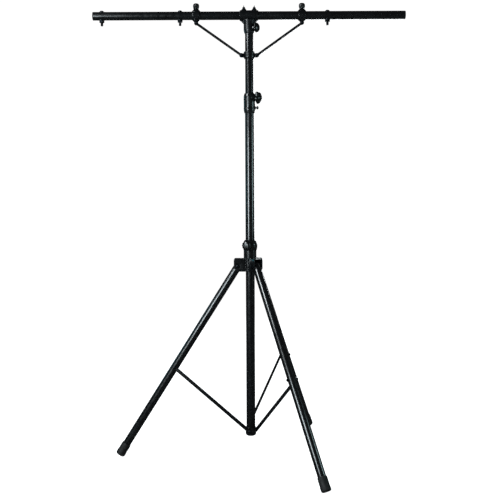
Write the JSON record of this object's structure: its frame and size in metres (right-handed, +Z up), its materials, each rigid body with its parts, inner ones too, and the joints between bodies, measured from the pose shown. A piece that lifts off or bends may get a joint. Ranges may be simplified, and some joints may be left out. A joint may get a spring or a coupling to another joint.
{
  "type": "tripod lighting stand",
  "caption": "Telescopic tripod lighting stand with a braced T-bar on top for hanging lamps; folding legs, sliding hub and clamp knobs.",
  "frame": {"origin": "on the floor under the mast axis, midway between the ends of the T-bar", "axes": "+Z up along the mast, X along the T-bar, one leg towards -X, the other two at 60 degrees either side of +X"},
  "size_m": [1.2, 0.9286, 1.765],
  "materials": {
    "black_powder_coat": "gloss powder coat",
    "black_plastic": "satin moulded",
    "black_rubber": "matt",
    "black_steel": "blackened"
  },
  "bodies": {
    "mast": {"outer_mast_tube": "black_powder_coat", "base_bracket": "black_powder_coat", "base_bolts": "black_steel", "mast_collar": "black_plastic"},
    "mast_knob": {"mast_knob": "black_plastic", "mast_knob_screw": "black_steel"},
    "plunger": {"plunger_pin": "black_steel", "plunger_knob": "black_plastic"},
    "inner_mast": {"inner_mast_tube": "black_powder_coat", "inner_guide": "black_plastic"},
    "head": {"t_adapter": "black_powder_coat"},
    "adapter_knob": {"adapter_knob": "black_plastic", "adapter_knob_screw": "black_steel"},
    "wing_bolt_left": {"wing_bolt_left": "black_steel"},
    "wing_bolt_right": {"wing_bolt_right": "black_steel"},
    "arm_left": {"arm_left": "black_powder_coat", "end_cap_left": "black_rubber", "fixture_bolts_left": "black_steel", "fixture_nuts_left": "black_steel"},
    "arm_right": {"arm_right": "black_powder_coat", "end_cap_right": "black_rubber", "fixture_bolt_right": "black_steel", "fixture_nut_right": "black_steel"},
    "clamp_left": {"clamp_left": "black_powder_coat", "clamp_bolt_left": "black_steel"},
    "clamp_right": {"clamp_right": "black_powder_coat", "clamp_bolt_right": "black_steel"},
    "clamp_knob_left": {"clamp_knob_left": "black_plastic"},
    "clamp_knob_right": {"clamp_knob_right": "black_plastic"},
    "brace_left": {"brace_left": "black_powder_coat"},
    "brace_right": {"brace_right": "black_powder_coat"},
    "brace_collar": {"brace_collar": "black_powder_coat", "brace_collar_bolts": "black_steel"},
    "hub": {"hub_frame": "black_powder_coat", "hub_collar": "black_plastic", "hub_pivot_bolts": "black_steel", "hub_pivot_nuts": "black_steel"},
    "hub_knob": {"hub_knob": "black_plastic", "hub_knob_screw": "black_steel"},
    "strut_left": {"strut_left": "black_powder_coat"},
    "leg_left": {"leg_tube_left": "black_powder_coat", "leg_plug_left": "black_plastic", "foot_left": "black_rubber", "leg_bolt_left": "black_steel", "leg_spacer_left": "black_plastic"},
    "strut_front": {"strut_front": "black_powder_coat"},
    "leg_front": {"leg_tube_front": "black_powder_coat", "leg_plug_front": "black_plastic", "foot_front": "black_rubber", "leg_bolt_front": "black_steel", "leg_spacer_front": "black_plastic"},
    "strut_rear": {"strut_rear": "black_powder_coat"},
    "leg_rear": {"leg_tube_rear": "black_powder_coat", "leg_plug_rear": "black_plastic", "foot_rear": "black_rubber", "leg_bolt_rear": "black_steel", "leg_spacer_rear": "black_plastic"}
  },
  "joints": [
    {"name": "strut_front_fold", "type": "hinge", "parent": "mast", "child": "strut_front", "pos_m": [0.02069, 0.00617, 0.1015], "axis": [-0.866, -0.5, 0], "range_deg": [0, 39.96]},
    {"name": "strut_left_fold", "type": "hinge", "parent": "mast", "child": "strut_left", "pos_m": [-0.005, -0.021, 0.1015], "axis": [0, 1, 0], "range_deg": [0, 39.97]},
    {"name": "strut_rear_fold", "type": "hinge", "parent": "mast", "child": "strut_rear", "pos_m": [-0.01569, 0.01483, 0.1015], "axis": [0.866, -0.5, 0], "range_deg": [0, 39.97]},
    {"name": "leg_front_fold", "type": "hinge", "parent": "strut_front", "child": "leg_front", "pos_m": [0.16696, -0.24718, 0.35826], "axis": [0.866, 0.5, 0], "range_deg": [0, 70.27]},
    {"name": "leg_left_fold", "type": "hinge", "parent": "strut_left", "child": "leg_left", "pos_m": [-0.29754, -0.021, 0.35826], "axis": [0, -1, 0], "range_deg": [0, 70.27]},
    {"name": "leg_rear_fold", "type": "hinge", "parent": "strut_rear", "child": "leg_rear", "pos_m": [0.13058, 0.26818, 0.35826], "axis": [-0.866, 0.5, 0], "range_deg": [0, 70.27]},
    {"name": "hub_rise", "type": "hinge", "parent": "leg_front", "child": "hub", "pos_m": [0.024, -0.04157, 0.753], "axis": [-0.866, -0.5, 0], "range_deg": [0, 30.31]},
    {"name": "mast_slide", "type": "slide", "parent": "mast", "child": "inner_mast", "axis": [0, 0, 1], "range_m": [0, 0.9]},
    {"name": "plunger_pull", "type": "slide", "parent": "mast", "child": "plunger", "axis": [0.9397, -0.342, 0], "range_m": [-0.005, 0.005]},
    {"name": "mast_knob_turn", "type": "hinge", "parent": "mast", "child": "mast_knob", "pos_m": [0.02537, -0.00923, 1.405], "axis": [0.9397, -0.342, 0], "continuous": true},
    {"name": "hub_knob_turn", "type": "hinge", "parent": "hub", "child": "hub_knob", "pos_m": [-0.01199, -0.02967, 0.8355], "axis": [-0.3746, -0.9272, 0], "continuous": true},
    {"name": "head_turn", "type": "hinge", "parent": "inner_mast", "child": "head", "pos_m": [0, 0, 1.67], "axis": [0, 0, 1], "continuous": true},
    {"name": "adapter_knob_turn", "type": "hinge", "parent": "head", "child": "adapter_knob", "pos_m": [0.02338, -0.0135, 1.67], "axis": [0.866, -0.5, 0], "continuous": true},
    {"name": "arm_left_pull", "type": "slide", "parent": "head", "child": "arm_left", "axis": [-1, 0, 0], "range_m": [0, 0.03]},
    {"name": "wing_bolt_left_turn", "type": "hinge", "parent": "head", "child": "wing_bolt_left", "pos_m": [-0.02, 0, 1.74], "axis": [0, 0, 1], "continuous": true},
    {"name": "clamp_left_shift", "type": "slide", "parent": "head", "child": "clamp_left", "axis": [1, 0, 0], "range_m": [0, 0.03]},
    {"name": "clamp_knob_left_turn", "type": "hinge", "parent": "clamp_left", "child": "clamp_knob_left", "pos_m": [-0.203, 0, 1.745], "axis": [0, 0, 1], "continuous": true},
    {"name": "brace_left_swing", "type": "hinge", "parent": "clamp_left", "child": "brace_left", "pos_m": [-0.203, 0, 1.689], "axis": [0, 1, 0], "range_deg": [0, 12.32]},
    {"name": "arm_right_pull", "type": "slide", "parent": "head", "child": "arm_right", "axis": [1, 0, 0], "range_m": [0, 0.03]},
    {"name": "wing_bolt_right_turn", "type": "hinge", "parent": "head", "child": "wing_bolt_right", "pos_m": [0.02, 0, 1.74], "axis": [0, 0, 1], "continuous": true},
    {"name": "clamp_right_shift", "type": "slide", "parent": "head", "child": "clamp_right", "axis": [-1, 0, 0], "range_m": [0, 0.03001]},
    {"name": "clamp_knob_right_turn", "type": "hinge", "parent": "clamp_right", "child": "clamp_knob_right", "pos_m": [0.203, 0, 1.745], "axis": [0, 0, 1], "continuous": true},
    {"name": "brace_right_swing", "type": "hinge", "parent": "clamp_right", "child": "brace_right", "pos_m": [0.203, 0, 1.689], "axis": [0, -1, 0], "range_deg": [0, 12.32]},
    {"name": "brace_collar_slide", "type": "slide", "parent": "head", "child": "brace_collar", "axis": [0, 0, -1], "range_m": [0, 0.0341]}
  ],
  "couplings": [
    {"joint": "strut_left_fold", "follows": "strut_front_fold", "ratio": 1},
    {"joint": "strut_rear_fold", "follows": "strut_front_fold", "ratio": 1},
    {"joint": "leg_front_fold", "follows": "strut_front_fold", "ratio": 1.7582},
    {"joint": "leg_left_fold", "follows": "strut_front_fold", "ratio": 1.7582},
    {"joint": "leg_rear_fold", "follows": "strut_front_fold", "ratio": 1.7582},
    {"joint": "hub_rise", "follows": "strut_front_fold", "ratio": 0.75818},
    {"joint": "brace_left_swing", "follows": "clamp_left_shift", "rad_per_m": 7.1642},
    {"joint": "brace_right_swing", "follows": "clamp_left_shift", "rad_per_m": 7.1642},
    {"joint": "clamp_right_shift", "follows": "clamp_left_shift", "ratio": 1},
    {"joint": "brace_collar_slide", "follows": "clamp_left_shift", "ratio": 1.1363}
  ]
}
